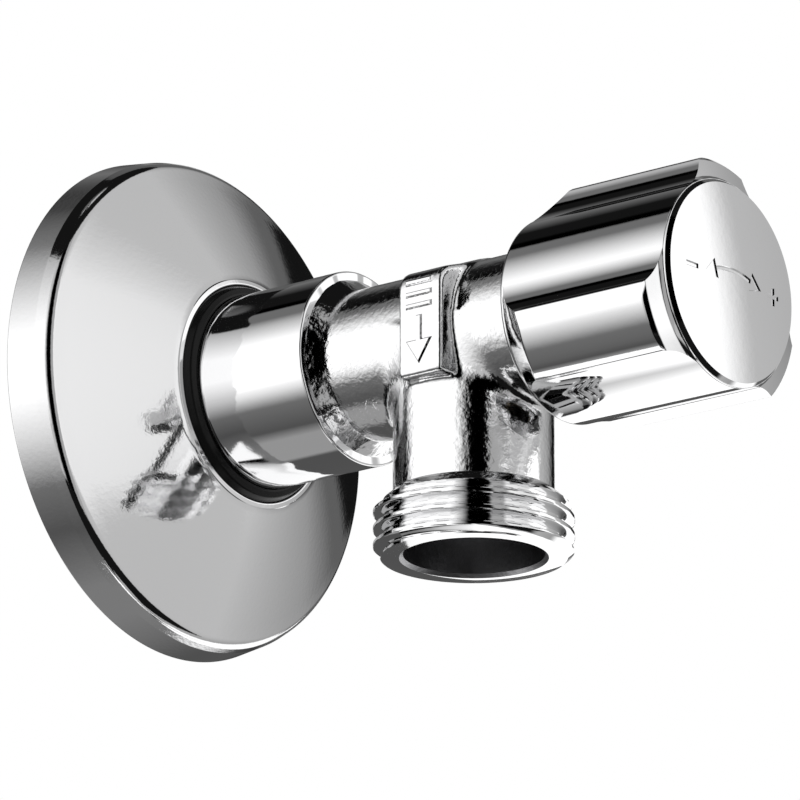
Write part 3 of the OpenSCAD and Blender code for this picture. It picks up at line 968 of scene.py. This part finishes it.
class Studio:
    """Nodes that turn a direction into the light that comes from it."""

    def __init__(self, owner):
        owner.use_nodes = True
        self.tree = owner.node_tree

    def join(self, value, socket):
        """Feeds a socket from another one, or sets its value."""
        if isinstance(value, bpy.types.NodeSocket):
            self.tree.links.new(value, socket)
        else:
            socket.default_value = value

    def math(self, operation, a, b=0.0):
        """The result of a math node."""
        node = self.tree.nodes.new("ShaderNodeMath")
        node.operation = operation
        self.join(a, node.inputs[0])
        self.join(b, node.inputs[1])
        return node.outputs[0]

    def step(self, value, start, end):
        """Rises smoothly from 0 to 1 as the value goes from start to end."""
        node = self.tree.nodes.new("ShaderNodeMapRange")
        node.interpolation_type = "SMOOTHSTEP"
        self.join(value, node.inputs["Value"])
        node.inputs["From Min"].default_value = start
        node.inputs["From Max"].default_value = end
        return node.outputs["Result"]

    def between(self, value, low, high, soft):
        """1 between two angles, falling to 0 over a soft edge on either side."""
        rise = self.step(value, low - soft, low + soft)
        fall = self.step(value, high + soft, high - soft)
        return self.math("MULTIPLY", rise, fall)

    def mix(self, share, a, b):
        """Goes from a to b as the share goes from 0 to 1."""
        difference = self.math("SUBTRACT", b, a)
        return self.math("ADD", a, self.math("MULTIPLY", share, difference))

    def profile(self, value, stops, low=-180, high=180):
        """Brightness at an angle, from a list of (angle, brightness as seen)."""
        node = self.tree.nodes.new("ShaderNodeValToRGB")
        points = node.color_ramp.elements
        share = self.math("DIVIDE", self.math("SUBTRACT", value, low), high - low)
        self.join(share, node.inputs["Fac"])
        while len(points) < len(stops):
            points.new(0.5)
        for point, (angle, seen) in zip(points, stops):
            point.position = (angle - low) / (high - low)
        for point, (angle, seen) in zip(points, stops):
            level = seen ** 2.2
            point.color = (level, level, level, 1)
        return node.outputs["Color"]


def studio_world():
    """The light that reflections see from each direction. Matt surfaces and the camera see white."""
    world = bpy.data.worlds.new("studio")
    bpy.context.scene.world = world
    s = Studio(world)
    where = s.tree.nodes.new("ShaderNodeTexCoord")
    split = s.tree.nodes.new("ShaderNodeSeparateXYZ")
    s.join(where.outputs["Generated"], split.inputs[0])
    x, y, z = split.outputs
    degrees = math.degrees(1)
    around = s.math("MULTIPLY", s.math("ARCTAN2", z, x), degrees)
    compass = s.math("MULTIPLY", s.math("ARCTAN2", x, s.math("MULTIPLY", y, -1.0)), degrees)
    height = s.math("MULTIPLY", s.math("ARCSINE", z), degrees)

    behind = s.mix(s.step(y, 0.50, 0.56), s.profile(around, BESIDE_AXIS), s.profile(around, AROUND_AXIS))
    behind = s.mix(s.step(y, 0.82, 0.92), behind, 0.07)
    ahead = s.math("MINIMUM", s.profile(compass, AROUND_ROOM), s.profile(height, BY_HEIGHT, -90, 90))
    dark_floor = s.math("MULTIPLY", s.between(height, -76, -36, 2), s.step(compass, 66, 58))
    ahead = s.mix(dark_floor, ahead, BLACK_CARD)
    softbox_wide = s.math("MULTIPLY", s.step(compass, 18, 26), s.step(compass, 56, 51))
    softbox_high = s.math("MULTIPLY", s.step(height, -2, 6), s.step(height, 38, 30))
    ahead = s.mix(s.math("MULTIPLY", softbox_wide, softbox_high), ahead, 1.0)
    low_panel = s.math("MULTIPLY", s.between(compass, 80, 122, 4), s.between(height, -62, -10, 3))
    ahead = s.mix(low_panel, ahead, 1.0)
    right_card = s.math("MULTIPLY", s.between(compass, 95, 119, 1.0), s.between(height, 5, 37, 1.0))
    ahead = s.mix(right_card, ahead, BLACK_CARD)
    light = s.mix(s.between(compass, -83, 116, 2), behind, ahead)
    ceiling = s.math("MULTIPLY", s.between(height, 57.5, 81, 1.5), s.step(y, 0.48, 0.42))
    light = s.mix(ceiling, light, BLACK_CARD)
    light = s.math("MULTIPLY", light, STUDIO_POWER)

    path = s.tree.nodes.new("ShaderNodeLightPath")
    light = s.mix(path.outputs["Is Diffuse Ray"], light, 1.0)
    light = s.mix(path.outputs["Is Camera Ray"], light, 1.0)
    s.join(light, s.tree.nodes["Background"].inputs["Color"])


def place_card():
    """A glowing card standing in the wall plane below the valve, seen only in reflections.
    It leaves out a half circle around the valve."""
    hole, left, right, low = 59.0, -24.0, 250.0, -700.0
    columns = spaced(left, 60, 2) + spaced(60, right, 20)[1:]
    points = []
    for x in columns:
        edge = math.sqrt(max(0, hole * hole - x * x))
        points.append((x * MM, 0, -max(25, edge) * MM))
        points.append((x * MM, 0, low * MM))
    faces = [(2 * k, 2 * k + 2, 2 * k + 3, 2 * k + 1) for k in range(len(columns) - 1)]
    mesh = bpy.data.meshes.new("card")
    mesh.from_pydata(points, [], faces)
    card = bpy.data.objects.new("card", mesh)
    bpy.context.scene.collection.objects.link(card)
    card.visible_camera = False
    card.visible_diffuse = False
    card.visible_shadow = False
    card.visible_transmission = False
    mat = bpy.data.materials.new("card_glow")
    mat.use_nodes = True
    s = Studio(mat)
    s.tree.nodes.clear()
    where = s.tree.nodes.new("ShaderNodeTexCoord")
    split = s.tree.nodes.new("ShaderNodeSeparateXYZ")
    s.join(where.outputs["Object"], split.inputs[0])
    along = s.math("DIVIDE", split.outputs[0], MM)
    level = s.math("MULTIPLY", s.profile(along, CARD, left, right), STUDIO_POWER)
    glow = s.tree.nodes.new("ShaderNodeEmission")
    s.join(level, glow.inputs["Color"])
    out = s.tree.nodes.new("ShaderNodeOutputMaterial")
    s.join(glow.outputs[0], out.inputs["Surface"])
    mesh.materials.append(mat)


def place_floor():
    """A plain pale floor well below the valve and the camera."""
    low = -0.45
    half = 6.0
    mesh = bpy.data.meshes.new("floor")
    mesh.from_pydata([(-half, -half, low), (half, -half, low), (half, half, low), (-half, half, low)],
                     [], [(0, 1, 2, 3)])
    floor = bpy.data.objects.new("floor", mesh)
    bpy.context.scene.collection.objects.link(floor)
    floor.visible_glossy = False
    mesh.materials.append(plain("floor_paint", (0.86, 0.86, 0.86), 0.7, grain_size=0.004, grain_bump=0.05))


place_camera()
studio_world()
place_card()
place_floor()
bpy.context.scene.view_settings.view_transform = "Standard"
